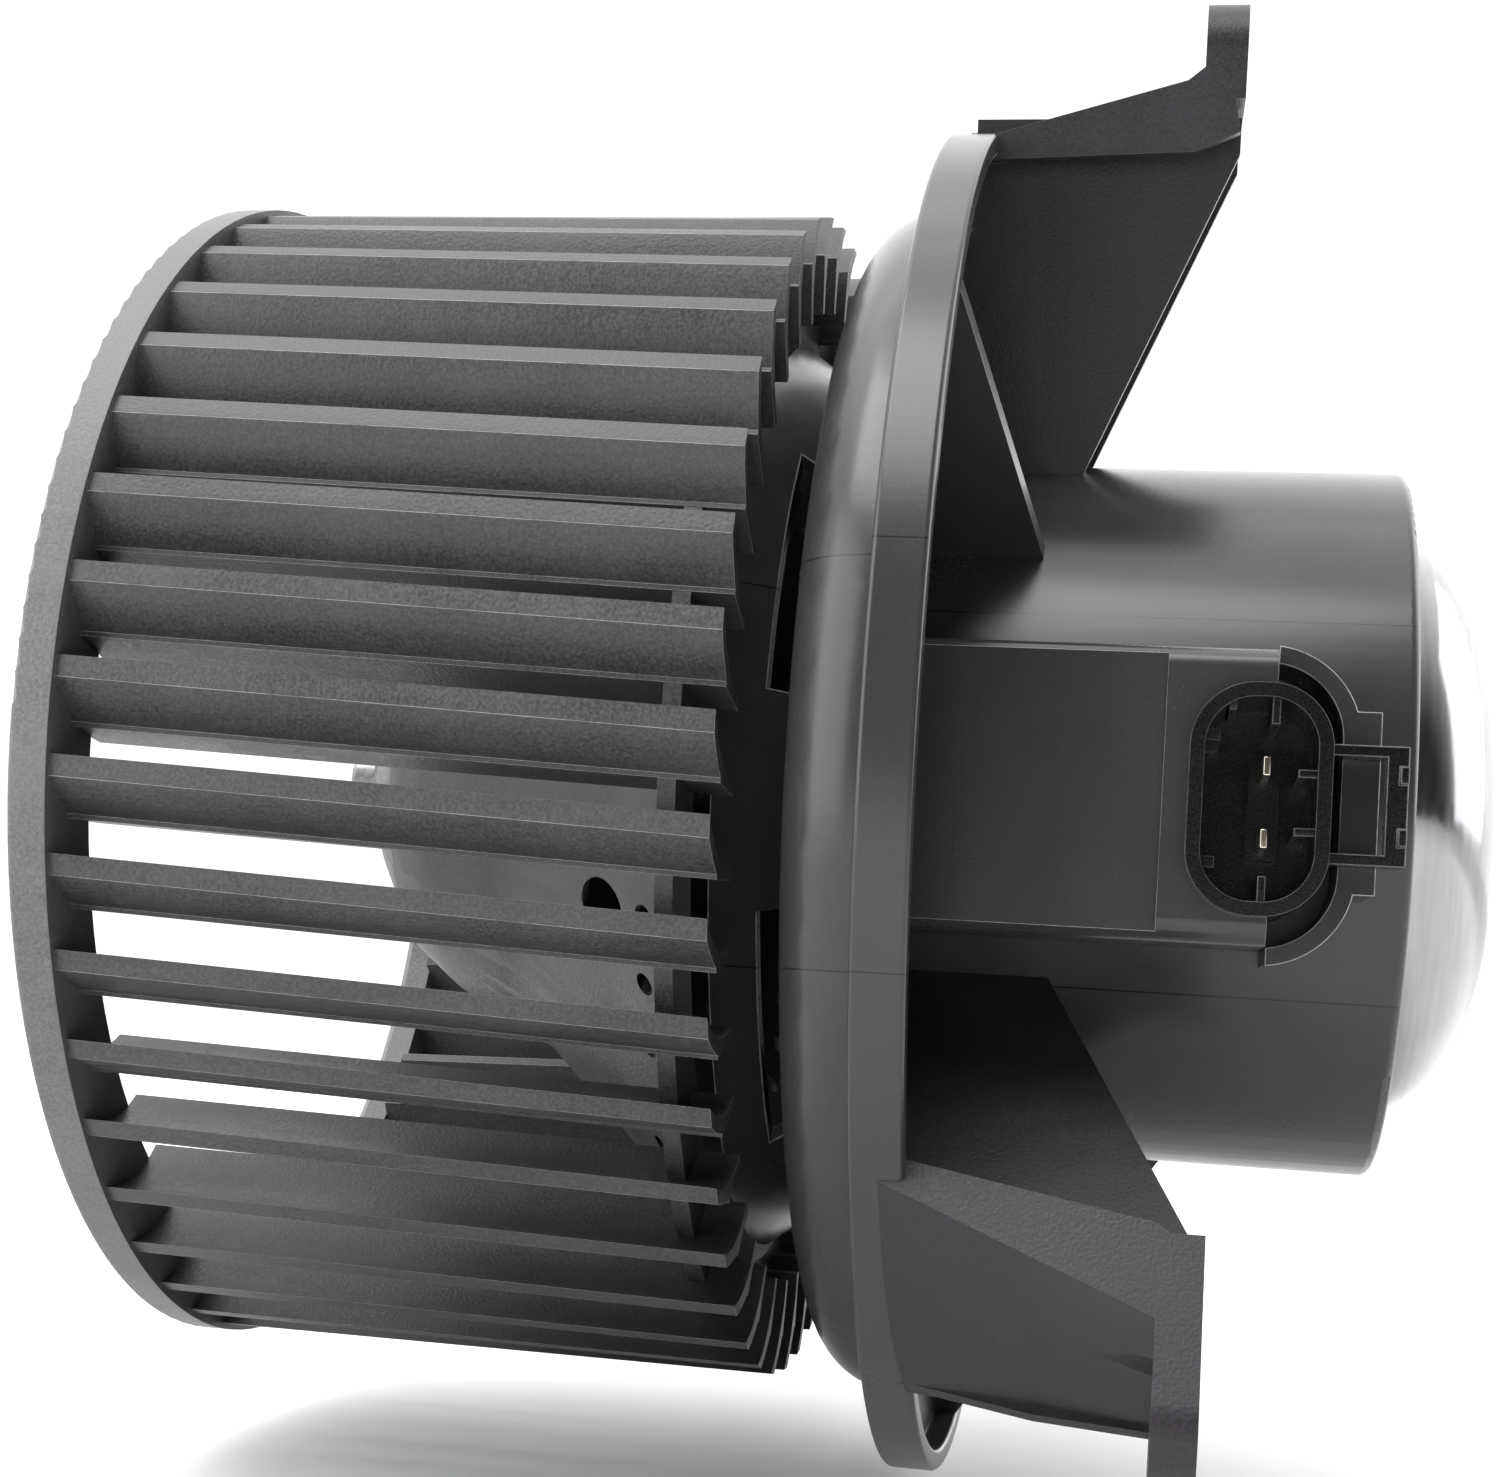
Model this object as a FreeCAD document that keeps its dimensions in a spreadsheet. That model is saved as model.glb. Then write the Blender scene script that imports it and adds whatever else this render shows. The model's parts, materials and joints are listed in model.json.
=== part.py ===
import FreeCAD, Part
import math
import os
import Sketcher

# Blower motor with its squirrel-cage wheel. Millimetres.
# X runs along the spin axis: the wheel is on the -X side and the domed motor end on the +X side.
# The origin is the centre of the three ear holes, in the plane of the ears' wheel-side faces.
# -Y is the connector side and +Z is up. Angles round the axis run from -Y towards +Z.

doc = FreeCAD.newDocument("BlowerMotorWheel")

driving = {
    # wheel
    "tip_radius": 75.0, "blade_inner": 63.3, "blade_count": 44.0, "belly_radius": 70.4,
    "ring_left": -123.0, "ring_right": -118.4, "ring_outer": 75.7, "ring_inner": 65.5,
    "blade_right": -46.1, "blade_skew": 2.4, "blade_phase": 1.98, "land_angle": 1.85,
    "belly_angle": 5.2, "strip_angle": 0.45, "nose_angle": 6.7, "blade_thick": 1.3,
    "disc_left": -52.8, "disc_right": -50.8, "disc_radius": 70.3,
    "hub_nose": -105.0, "boss_radius": 8.0, "boss_end": -80.0,
    "vent_circle": 50.0, "vent_radius": 3.2, "vent_place": -63.5, "vent_count": 6.0,
    "drain_circle": 57.6, "drain_radius": 1.2, "drain_place": -57.0,
    # shaft and rotor
    "shaft_radius": 3.0, "shaft_left": -111.0, "shaft_right": 33.0,
    "clip_radius": 7.5, "clip_thick": 1.0, "washer_radius": 5.5, "washer_thick": 0.8,
    "core_left": -17.0, "core_right": 13.0, "core_radius": 24.5, "slot_count": 12.0,
    "slot_width": 3.0, "slot_bottom": 15.0, "coil_inner": 9.0, "coil_outer": 22.5, "coil_length": 4.5,
    "comm_left": -32.0, "comm_right": -22.6, "comm_radius": 10.0,
    # motor case
    "can_radius": 36.3, "can_wall": 2.0, "can_front": -37.4, "dome_height": 14.4,
    "plate_thick": 2.0, "plate_radius": 34.2, "plate_boss": 10.0, "boss_left": -49.0, "screw_circle": 29.0,
    "magnet_outer": 34.2, "magnet_inner": 25.3, "magnet_left": -19.0, "magnet_right": 15.0,
    "magnet_half": 62.0, "card_left": -34.6, "card_right": -32.6, "card_radius": 33.6, "card_bore": 11.6,
    "bearing_radius": 7.0, "bearing_length": 8.0, "running_gap": 0.04,
    "front_bearing": -48.0, "rear_bearing": 24.0, "seat_radius": 9.5,
    "brush_inner": 10.4, "brush_outer": 20.0, "brush_half": 3.0, "brush_left": -30.4, "brush_right": -24.4,
    "slide_gap": 0.08, "holder_inner": 12.6, "holder_outer": 31.6, "holder_wall": 0.8,
    "spring_radius": 2.2, "spring_bore": 1.5, "spring_end": 30.6,
    # housing
    "cup_radius": 44.4, "cup_wall": 2.4, "cup_lip": 37.0, "cup_mouth": 20.0, "cup_end": 26.2,
    "floor_left": -40.0, "floor_wall": 2.4, "pan_radius": 75.6, "pan_corner": 9.0, "pan_wall": 2.4,
    "rim_left": -30.2, "rim_right": -24.5, "rim_radius": 84.8, "rim_wall": 2.5,
    "collar_left": -49.4, "collar_big": 59.0, "collar_small": 51.5, "collar_wall": 2.2,
    "window_left": -44.6, "window_angle": 34.0, "window_centre": 25.0,
    # ears and arms
    "ear_left": -0.6, "ear_right": 4.2, "ear_tip": 98.6, "ear_circle": 92.5, "ear_hole": 2.75,
    "arm_half": 16.8, "arm_wall": 2.4, "arm_root": 83.2, "arm_top": 89.4, "arm_under": 81.0,
    "web_half": 9.2, "web_wall": 2.2, "web_foot": -12.6, "web_head": 81.8,
    "first_arm": 78.0, "lower_arm": -42.0, "third_arm": 198.0,
    "long_ear": 0.8, "long_back": 5.2, "long_tip": 100.6, "long_near": 41.0, "long_far": 9.7,
    "long_turn": -60.0, "long_skin": 86.5, "gusset_wall": 2.2,
    # duct and connector
    "duct_face": -62.0, "duct_low": -18.0, "duct_high": 13.0, "duct_right": 10.0, "duct_wall": 2.2,
    "duct_inside": -1.2,
    "plug_x": 8.6, "plug_z": -3.0, "plug_wide": 14.4, "plug_tall": 24.0, "plug_round": 6.6,
    "plug_wall": 1.5, "plug_mouth": -64.0, "plug_floor": -51.5,
    "skirt_face": -57.0, "skirt_right": 21.0, "skirt_high": 7.2, "skirt_low": -12.0, "skirt_gap": 1.3,
    "skirt_wall": 1.9, "latch_left": 15.8, "latch_right": 23.5, "latch_low": -9.2, "latch_high": 3.2,
    "latch_face": -61.5, "latch_back": -58.6, "latch_bar": 1.2, "latch_post": 2.2,
    "pin_wide": 0.8, "pin_tall": 2.0, "pin_x": 9.3, "pin_high": 0.6, "pin_low": -6.9, "pin_tip": -61.8,
}

sheet = doc.addObject("Spreadsheet::Sheet", "Dims")
for row, (alias, value) in enumerate(driving.items(), start=1):
    sheet.set("A%d" % row, alias)
    sheet.set("B%d" % row, str(value))
    sheet.setAlias("B%d" % row, alias)
doc.recompute()


def term(word):
    """One alias or number of a formula, as a value."""
    if word in driving:
        return float(sheet.get(word))
    return float(word)


def worth(formula):
    """The value of a formula of aliases and numbers joined by spaced + and -, with * inside a term."""
    total = 0.0
    sign = 1.0
    for word in formula.split():
        if word in ("+", "-"):
            sign = 1.0 if word == "+" else -1.0
            continue
        product = 1.0
        for factor in word.split("*"):
            product *= term(factor)
        total += sign * product
    return total


def bound(formula):
    """The same formula as an expression on the sheet."""
    words = []
    for word in formula.split():
        factors = ["Dims." + f if f in driving else f for f in word.split("*")]
        words.append("*".join(factors))
    return " ".join(words)


def bind(thing, prop, formula):
    """Binds a property to the sheet."""
    thing.setExpression(prop, bound(formula))


def bindPlace(thing, x="0", y="0", z="0"):
    """Binds where a primitive stands."""
    bind(thing, "Placement.Base.x", x)
    bind(thing, "Placement.Base.y", y)
    bind(thing, "Placement.Base.z", z)


finished = []


def finish(thing, node):
    """Gives a sub-part its node name and puts it on the list that is written."""
    thing.Label = node
    finished.append(thing)
    return thing


def originPlane(body, role):
    return [feature for feature in body.Origin.OriginFeatures if feature.Role == role][0]


def pinDown(sketch, index, point, axis, formula):
    """Holds one coordinate of a sketch point at a formula's value."""
    value = worth(formula)
    if abs(value) < 1e-9:
        onto = -2 if axis == "DistanceX" else -1
        sketch.addConstraint(Sketcher.Constraint("PointOnObject", index, point, onto))
        return
    number = sketch.addConstraint(Sketcher.Constraint(axis, -1, 1, index, point, value))
    sketch.setExpression("Constraints[%d]" % number, bound(formula))


def outline(body, name, role, points):
    """A closed sketch of straight lines through points given as pairs of formulas."""
    sketch = body.newObject("Sketcher::SketchObject", name)
    sketch.AttachmentSupport = [(originPlane(body, role), "")]
    sketch.MapMode = "FlatFace"
    corners = [FreeCAD.Vector(worth(a), worth(b), 0) for a, b in points]
    count = len(corners)
    for i in range(count):
        sketch.addGeometry(Part.LineSegment(corners[i], corners[(i + 1) % count]), False)
    for i in range(count):
        sketch.addConstraint(Sketcher.Constraint("Coincident", i, 2, (i + 1) % count, 1))
    for i, (a, b) in enumerate(points):
        pinDown(sketch, i, 1, "DistanceX", a)
        pinDown(sketch, i, 1, "DistanceY", b)
    return sketch


def circles(body, name, role, spots):
    """A sketch of circles, each given as formulas for its centre and radius."""
    sketch = body.newObject("Sketcher::SketchObject", name)
    sketch.AttachmentSupport = [(originPlane(body, role), "")]
    sketch.MapMode = "FlatFace"
    for i, (a, b, radius) in enumerate(spots):
        centre = FreeCAD.Vector(worth(a), worth(b), 0)
        sketch.addGeometry(Part.Circle(centre, FreeCAD.Vector(0, 0, 1), worth(radius)), False)
        number = sketch.addConstraint(Sketcher.Constraint("Radius", i, worth(radius)))
        sketch.setExpression("Constraints[%d]" % number, bound(radius))
        pinDown(sketch, i, 3, "DistanceX", a)
        pinDown(sketch, i, 3, "DistanceY", b)
    return sketch


def newBody(node):
    body = doc.addObject("PartDesign::Body", "Body_" + node)
    return body


def turned(node, points):
    """A body of revolution about X, from an outline of (x, radius) formulas."""
    body = newBody(node)
    sketch = outline(body, "Profile_" + node, "XZ_Plane", points)
    turn = body.newObject("PartDesign::Revolution", "Turn_" + node)
    turn.Profile = sketch
    turn.ReferenceAxis = (sketch, ["H_Axis"])
    turn.Angle = 360.0
    doc.recompute()
    return body


def pocketed(body, sketch, name, length, symmetric=True, reverse=False):
    """Cuts a sketch out of a body and makes sure that material went."""
    before = body.Shape.Volume
    pocket = body.newObject("PartDesign::Pocket", "Pocket_" + name)
    pocket.Profile = sketch
    pocket.SideType = "Symmetric" if symmetric else "One side"
    pocket.Reversed = reverse
    bind(pocket, "Length", length)
    doc.recompute()
    if body.Shape.Volume > before - 0.01:
        raise ValueError("the pocket %s cuts nothing" % name)
    return pocket


def ringEdges(shape, x, radius):
    """Names of the circular edges about the X axis at a place and radius."""
    names = []
    for number, edge in enumerate(shape.Edges, start=1):
        curve = edge.Curve
        if isinstance(curve, Part.Circle) and abs(curve.Radius - radius) < 0.01:
            if abs(curve.Center.x - x) < 0.01:
                names.append("Edge%d" % number)
    return names


def rounded(body, name, rings, radius):
    """Fillets ring edges of a turned body, each given as (x, radius) formulas."""
    base = body.Tip
    names = []
    for x, ring in rings:
        names += ringEdges(base.Shape, worth(x), worth(ring))
    fillet = body.newObject("PartDesign::Fillet", "Round_" + name)
    fillet.Base = (base, names)
    bind(fillet, "Radius", radius)
    doc.recompute()
    return fillet


def joined(name, pieces):
    fuse = doc.addObject("Part::MultiFuse", name)
    fuse.Shapes = pieces
    return fuse


def cutBy(name, base, tool):
    cut = doc.addObject("Part::Cut", name)
    cut.Base = base
    cut.Tool = tool
    return cut


def swung(shape, degrees):
    """A shape turned about X so that what pointed along +Z points at the given angle."""
    return shape.rotated(FreeCAD.Vector(), FreeCAD.Vector(1, 0, 0), 90.0 - degrees)


def pointAt(x, degrees, radius):
    """A point by its place along the axis, its angle and its radius."""
    angle = math.radians(degrees)
    return FreeCAD.Vector(x, -radius * math.cos(angle), radius * math.sin(angle))


def shaped(node, shape):
    """A sub-part whose shape is worked out from the sheet."""
    feature = doc.addObject("Part::Feature", "Shape_" + node)
    feature.Shape = shape
    return feature


def slab(points, low, high):
    """A plate: an outline in (x, height along Z), between two places along Y."""
    corners = [FreeCAD.Vector(x, low, z) for x, z in points]
    face = Part.Face(Part.makePolygon(corners + corners[:1]))
    return face.extrude(FreeCAD.Vector(0, high - low, 0))


def bar(radius, left, right):
    """A round bar along X."""
    return Part.makeCylinder(radius, right - left, FreeCAD.Vector(left, 0, 0), FreeCAD.Vector(1, 0, 0))


def tube(inner, outer, left, right):
    return bar(outer, left, right).cut(bar(inner, left, right))


def brick(x, y, z):
    """A box between pairs of numbers."""
    return Part.makeBox(x[1] - x[0], y[1] - y[0], z[1] - z[0], FreeCAD.Vector(x[0], y[0], z[0]))


def pill(wide, tall, corner, front, back):
    """A rounded rectangular prism along Y round the connector's centre line."""
    x = term("plug_x")
    z = term("plug_z")
    box = brick((x - wide / 2, x + wide / 2), (front, back), (z - tall / 2, z + tall / 2))
    upright = [e for e in box.Edges if abs(e.tangentAt(e.FirstParameter).y) > 0.9]
    return box.makeFillet(corner, upright)


# ---------------------------------------------------------------- wheel

def bladeWire(x, top):
    """The blade's section at a place: outer land, leaning face, narrow belly strip, flat root, hollow."""
    tip = term("tip_radius")
    belly = term("belly_radius")
    inner = term("blade_inner")
    under = top - term("belly_angle")
    strip = under - term("strip_angle")
    nose = top - term("nose_angle")
    back = math.degrees(term("blade_thick") / inner)
    a = pointAt(x, top, tip)
    b = pointAt(x, top - term("land_angle"), tip)
    c = pointAt(x, under, belly)
    d = pointAt(x, strip, belly)
    e = pointAt(x, nose, inner)
    f = pointAt(x, nose + back, inner)
    lean = pointAt(x, top - term("land_angle") - 2.1, (tip + belly) / 2 - 0.35)
    hollow = pointAt(x, under + 1.5, belly - 0.6)
    land = Part.Arc(a, pointAt(x, top - term("land_angle") / 2, tip), b).toShape()
    face = Part.Arc(b, lean, c).toShape()
    back_face = Part.Arc(f, hollow, a).toShape()
    return Part.Wire([
        land, face, Part.LineSegment(c, d).toShape(), Part.LineSegment(d, e).toShape(),
        Part.LineSegment(e, f).toShape(), back_face,
    ])


def fanBlades():
    phase = term("blade_phase")
    skew = term("blade_skew")
    left = term("ring_right")
    right = term("blade_right")
    loft = Part.makeLoft([bladeWire(left, phase + skew), bladeWire(right, phase)], True, True)
    blade = loft.cut(bar(term("disc_radius"), term("disc_left"), term("disc_right")))
    pitch = 360.0 / term("blade_count")
    turn = FreeCAD.Vector(1, 0, 0)
    blades = [blade.rotated(FreeCAD.Vector(), turn, pitch * i) for i in range(int(term("blade_count")))]
    return Part.makeCompound(blades)


def holesAround(circle, radius, place, count, phase):
    """Round cutters on a circle, each pointing straight out from the axis."""
    cutters = []
    for i in range(int(count)):
        angle = phase + 360.0 * i / count
        foot = pointAt(place, angle, circle - 12.0)
        head = pointAt(place, angle, circle + 12.0)
        cutters.append(Part.makeCylinder(radius, 24.0, foot, head - foot))
    return Part.makeCompound(cutters)


ring = turned("inlet_ring", [
    ("ring_left", "ring_inner + 1"), ("ring_left + 1", "ring_inner"), ("ring_right", "ring_inner"),
    ("ring_right", "ring_outer"), ("ring_left", "ring_outer"),
])
rounded(ring, "inlet_ring", [("ring_left", "ring_outer")], "0.8")
finish(ring, "inlet_ring")

finish(shaped("fan_blades", fanBlades()), "fan_blades")

hubBody = turned("wheel_hub", [
    ("hub_nose", "shaft_radius"), ("hub_nose", "9"), ("hub_nose + 2", "15"), ("hub_nose + 7", "24"),
    ("hub_nose + 12.7", "28.5"), ("hub_nose + 26.7", "36"), ("hub_nose + 41.5", "50"),
    ("disc_left", "62.4"), ("disc_left", "disc_radius"), ("disc_right", "disc_radius"),
    ("disc_right", "61.2"), ("hub_nose + 42.8", "48"), ("hub_nose + 27.8", "34"),
    ("hub_nose + 13.8", "26.4"), ("hub_nose + 8.6", "22.3"), ("hub_nose + 3.8", "14"),
    ("hub_nose + 2.6", "boss_radius"), ("boss_end", "boss_radius"), ("boss_end", "shaft_radius"),
])
vents = shaped("hub_vents", holesAround(
    term("vent_circle"), term("vent_radius"), term("vent_place"), term("vent_count"), -20.0))
drains = shaped("hub_drains", holesAround(
    term("drain_circle"), term("drain_radius"), term("drain_place"), term("blade_count"), -2.1))
finish(cutBy("Hub", hubBody, joined("Hub_holes", [vents, drains])), "wheel_hub")

finish(turned("motor_shaft", [
    ("shaft_left", "0"), ("shaft_left", "shaft_radius - 0.6"), ("shaft_left + 0.6", "shaft_radius"),
    ("shaft_right - 0.6", "shaft_radius"), ("shaft_right", "shaft_radius - 0.6"), ("shaft_right", "0"),
]), "motor_shaft")

clipBody = turned("retaining_clip", [
    ("hub_nose - clip_thick", "shaft_radius"), ("hub_nose", "shaft_radius"),
    ("hub_nose", "clip_radius"), ("hub_nose - clip_thick", "clip_radius"),
])
clipGap = outline(clipBody, "Clip_gap", "YZ_Plane", [
    ("-1.6", "4"), ("1.6", "4"), ("1.6", "9"), ("-1.6", "9"),
])
pocketed(clipBody, clipGap, "Clip_gap", "300")
finish(clipBody, "retaining_clip")


# ---------------------------------------------------------------- rotor inside the motor

def armatureCore():
    core = tube(term("shaft_radius"), term("core_radius"), term("core_left"), term("core_right"))
    pitch = 360.0 / term("slot_count")
    half = term("slot_width") / 2
    slot = brick((term("core_left") - 1, term("core_right") + 1), (-half, half),
                 (term("slot_bottom"), term("core_radius") + 1))
    slots = [slot.rotated(FreeCAD.Vector(), FreeCAD.Vector(1, 0, 0), pitch * i)
             for i in range(int(term("slot_count")))]
    return core.cut(Part.makeCompound(slots))


def windings():
    inner = term("coil_inner")
    outer = term("coil_outer")
    length = term("coil_length")
    front = tube(inner, outer, term("core_left") - length, term("core_left"))
    rear = tube(inner, outer, term("core_right"), term("core_right") + length)
    return Part.makeCompound([front, rear])


finish(shaped("armature_core", armatureCore()), "armature_core")
finish(shaped("armature_windings", windings()), "armature_windings")
finish(turned("commutator", [
    ("comm_left", "shaft_radius"), ("comm_left", "comm_radius"), ("comm_right", "comm_radius"),
    ("comm_right", "shaft_radius"),
]), "commutator")
finish(shaped("thrust_washers", Part.makeCompound([
    tube(term("shaft_radius"), term("washer_radius"), -39.4, -39.4 + term("washer_thick")),
    tube(term("shaft_radius"), term("washer_radius"), 22.4, 22.4 + term("washer_thick")),
])), "thrust_washers")


# ---------------------------------------------------------------- housing

dish = turned("flange_dish", [
    ("floor_left", "cup_radius"), ("floor_left", "pan_radius"), ("rim_left", "pan_radius"),
    ("rim_left", "rim_radius"), ("rim_right", "rim_radius"), ("rim_right", "rim_radius - rim_wall"),
    ("rim_left + rim_wall", "rim_radius - rim_wall"), ("rim_left + rim_wall", "pan_radius - pan_wall"),
    ("floor_left + floor_wall", "pan_radius - pan_wall"), ("floor_left + floor_wall", "cup_radius"),
])
rounded(dish, "dish_outside", [("floor_left", "pan_radius")], "pan_corner")
rounded(dish, "dish_inside", [("floor_left + floor_wall", "pan_radius - pan_wall")], "pan_corner - pan_wall")
rounded(dish, "dish_rim", [("rim_left", "rim_radius"), ("rim_right", "rim_radius")], "0.6")
finish(dish, "flange_dish")

cup = turned("motor_cup", [
    ("floor_left", "cup_mouth"), ("floor_left", "cup_radius"), ("cup_end", "cup_radius"),
    ("cup_end", "cup_lip"), ("cup_end - cup_wall", "cup_lip"),
    ("cup_end - cup_wall", "cup_radius - cup_wall"),
    ("floor_left + floor_wall", "cup_radius - cup_wall"), ("floor_left + floor_wall", "cup_mouth"),
])
rounded(cup, "cup_end", [("cup_end", "cup_radius")], "1.2")
finish(cup, "motor_cup")
doc.recompute()
shell = dish.Shape.fuse(bar(term("cup_radius"), term("floor_left"), term("cup_end")))


def collarWindows():
    """Six cutters that leave the collar's tongues standing."""
    span = term("window_angle")
    cutters = []
    for i in range(6):
        wedge = Part.makeCylinder(90.0, 20.0, FreeCAD.Vector(term("window_left"), 0, 0),
                                  FreeCAD.Vector(1, 0, 0), span)
        centre = term("window_centre") + 60.0 * i
        wedge.rotate(FreeCAD.Vector(), FreeCAD.Vector(1, 0, 0), 90.0 - span / 2 - centre)
        cutters.append(wedge)
    return Part.makeCompound(cutters)


collarBody = turned("front_collar", [
    ("collar_left", "collar_big"), ("collar_left", "collar_big - collar_wall"),
    ("floor_left", "collar_small - collar_wall"), ("floor_left", "collar_small"),
])
windows = shaped("collar_windows", collarWindows())
finish(cutBy("Collar", collarBody, windows), "front_collar")


def roundTip(plate, radius):
    """Rounds the two upper corners of an ear."""
    top = plate.BoundBox.ZMax
    edges = [e for e in plate.Edges if abs(e.tangentAt(e.FirstParameter).x) > 0.9
             and abs(e.CenterOfMass.z - top) < 0.01]
    return plate.makeFillet(radius, edges)


def webs(head):
    """The pair of radial webs under an arm, from the cup out to the skin."""
    inside = term("floor_left") + term("floor_wall")
    rim = term("rim_left") + term("rim_wall")
    pan = term("pan_radius") - term("pan_wall")
    foot = term("cup_radius") - 2.0
    points = [
        (inside, foot), (term("web_foot") - 0.9, foot), (term("ear_right") - 0.2, term("web_head")),
        (term("ear_right") - 0.2, head), (rim, head), (rim, pan), (inside + 3.6, pan), (inside, pan - 3.6),
    ]
    half = term("web_half")
    wall = term("web_wall")
    return [slab(points, -half, wall - half), slab(points, half - wall, half)]


def straightArm():
    """An arm that points along +Z: skin, two side walls, ear and webs."""
    rim = term("rim_left") + term("rim_wall")
    right = term("rim_right")
    ear = term("ear_left")
    back = term("ear_right")
    half = term("arm_half")
    wall = term("arm_wall")
    root = term("arm_root")
    top = term("arm_top")
    under = term("arm_under")
    skin = slab([(rim, root - wall), (rim, root), (right, root), (ear - 1.9, top - 0.3), (ear, top + 1.2),
                 (back, top + 1.2), (back, top - wall), (ear - 1.9, top - 0.3 - wall),
                 (right, root - wall)], -half, half)
    side = [(rim, root - wall - 0.6), (rim, root), (right, root), (ear - 1.9, top - 0.3), (ear + 1, top),
            (back - 1.6, top), (back - 0.4, under + 2.2), (ear - 0.7, under), (right, root - wall - 0.6)]
    walls = [slab(side, -half, wall - half), slab(side, half - wall, half)]
    plate = roundTip(brick((ear, back), (-half, half), (top - 2, term("ear_tip"))), 6.0)
    hole = bar(term("ear_hole"), ear - 5, back + 5)
    hole.translate(FreeCAD.Vector(0, 0, term("ear_circle")))
    arm = skin.fuse(walls + [plate] + webs(top - wall - 1.0))
    return arm.cut(hole)


def skinBand(below, above):
    """The lower arm's skin between two offsets: it follows the rim at one end and is flat at the ear."""
    near = term("long_near")
    far = term("long_far")
    rim = term("rim_radius") - 0.2

    def height(radius, across):
        return math.sqrt(radius * radius - across * across)

    def section(x, low, high, flat):
        corners = []
        for level, order in ((low, (far, near)), (high, (near, far))):
            for across in order:
                corners.append(FreeCAD.Vector(x, across, level if flat else height(level, across)))
        edges = []
        for i in range(4):
            start = corners[i]
            end = corners[(i + 1) % 4]
            if flat or i % 2 == 1:
                edges.append(Part.LineSegment(start, end).toShape())
            else:
                level = low if i == 0 else high
                middle = (far + near) / 2
                edges.append(Part.Arc(start, FreeCAD.Vector(x, middle, height(level, middle)), end).toShape())
        return Part.Wire(edges)

    skin = term("long_skin")
    return Part.makeLoft([
        section(term("rim_left") + term("rim_wall"), rim + below, rim + above, False),
        section(term("long_ear") + 0.5, skin + below, skin + above, True),
    ], True, True)


def lowerArm():
    """The lower arm: skin, near wall, far rib and ear in one turned frame, webs in another."""
    near = term("long_near")
    far = term("long_far")
    wall = term("arm_wall")
    right = term("rim_right")
    ear = term("long_ear")
    back = term("long_back")
    rim = term("rim_left") + term("rim_wall")
    skin = skinBand(-wall, 0.0)
    nearWall = slab([(rim, 71.6), (rim, 73.6), (right, 74.3), (ear, 86.3), (back - 0.3, 86.3),
                     (back - 0.3, 79.6), (ear - 0.4, 76.4), (right, 71.7)], near - wall, near)
    farRib = slab([(rim, 80.6), (rim, 83.9), (right, 84.1), (right + 13, 86.2), (ear, 87.0), (back, 87.0),
                   (back, 80.5), (right + 2, 81.6)], far, far + 2.0)
    plate = roundTip(brick((ear, back), (far, near), (77.4, term("long_tip"))), 6.0)
    turned_part = swung(skin.fuse([nearWall, farRib, plate]), term("long_turn"))
    outside = swung(skinBand(-0.4, 30.0), term("long_turn"))
    tall = webs(92.0)
    legs = [swung(leg, term("lower_arm")).cut(outside) for leg in tall]
    arm = turned_part.fuse(legs)
    hole = bar(term("ear_hole"), ear - 6, back + 6)
    centre = pointAt(0, term("lower_arm"), term("ear_circle"))
    hole.translate(centre)
    return arm.cut(hole)


def gusset(foot, degrees):
    """A triangular fin from the cup up to the rim."""
    inside = term("floor_left") + term("floor_wall")
    rim = term("rim_left") + term("rim_wall")
    pan = term("pan_radius") - term("pan_wall")
    root = term("cup_radius") - 2.0
    lip = term("rim_radius") - term("rim_wall") + 0.5
    half = term("gusset_wall") / 2
    fin = slab([(inside, root), (foot, root), (term("rim_right") - 0.6, lip), (rim, lip), (rim, pan),
                (inside + 3.6, pan), (inside, pan - 3.6)], -half, half)
    return swung(fin, degrees)


standing = {
    "arm_top": swung(straightArm(), term("first_arm")),
    "arm_lower": lowerArm(),
    "arm_rear": swung(straightArm(), term("third_arm")),
}
for node, arm in standing.items():
    finish(shaped(node, arm.cut(shell).removeSplitter()), node)
fins = [gusset(-15.8, 38.0), gusset(-15.8, 118.0), gusset(2.6, -100.0), gusset(-15.8, 158.0)]
gussets = Part.makeCompound([fin.cut(shell) for fin in fins])
finish(shaped("stiffening_gussets", gussets), "stiffening_gussets")


# ---------------------------------------------------------------- connector and duct

plug = pill(term("plug_wide"), term("plug_tall"), term("plug_round"), term("plug_mouth"), -30.0)
solidCup = bar(term("cup_radius"), term("floor_left"), term("cup_end") + 30)


def connectorShell():
    """The socket's outer wall, its floor and two keys, standing on the cup."""
    wall = term("plug_wall")
    socket = pill(term("plug_wide") - 2 * wall, term("plug_tall") - 2 * wall, term("plug_round") - wall,
                  term("plug_mouth") - 1, term("plug_floor"))
    left = term("plug_x") - term("plug_wide") / 2
    keys = []
    for z in (term("plug_z") + 6.0, term("plug_z") - 7.2):
        keys.append(brick((left + 0.5, left + 3.0), (term("plug_mouth") + 1.5, term("plug_floor") + 0.5),
                          (z, z + 1.2)))
    stem = brick((term("pin_x") - 1.6, term("pin_x") + 1.6),
                 (term("plug_floor") - 3.0, term("plug_floor") + 0.5),
                 (term("pin_low") - 1.8, term("pin_high") + 1.8))
    pins = pinBlades(0.0)
    return plug.cut(socket).fuse(keys + [stem]).cut(solidCup).cut(pins)


def pinBlades(extra):
    wide = term("pin_wide") / 2 + extra
    tall = term("pin_tall") / 2 + extra
    blades = []
    for z in (term("pin_high"), term("pin_low")):
        pin = brick((term("pin_x") - wide, term("pin_x") + wide), (term("pin_tip"), term("plug_floor") + 5.0),
                    (z - tall, z + tall))
        blades.append(pin)
    return Part.makeCompound(blades)


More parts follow.
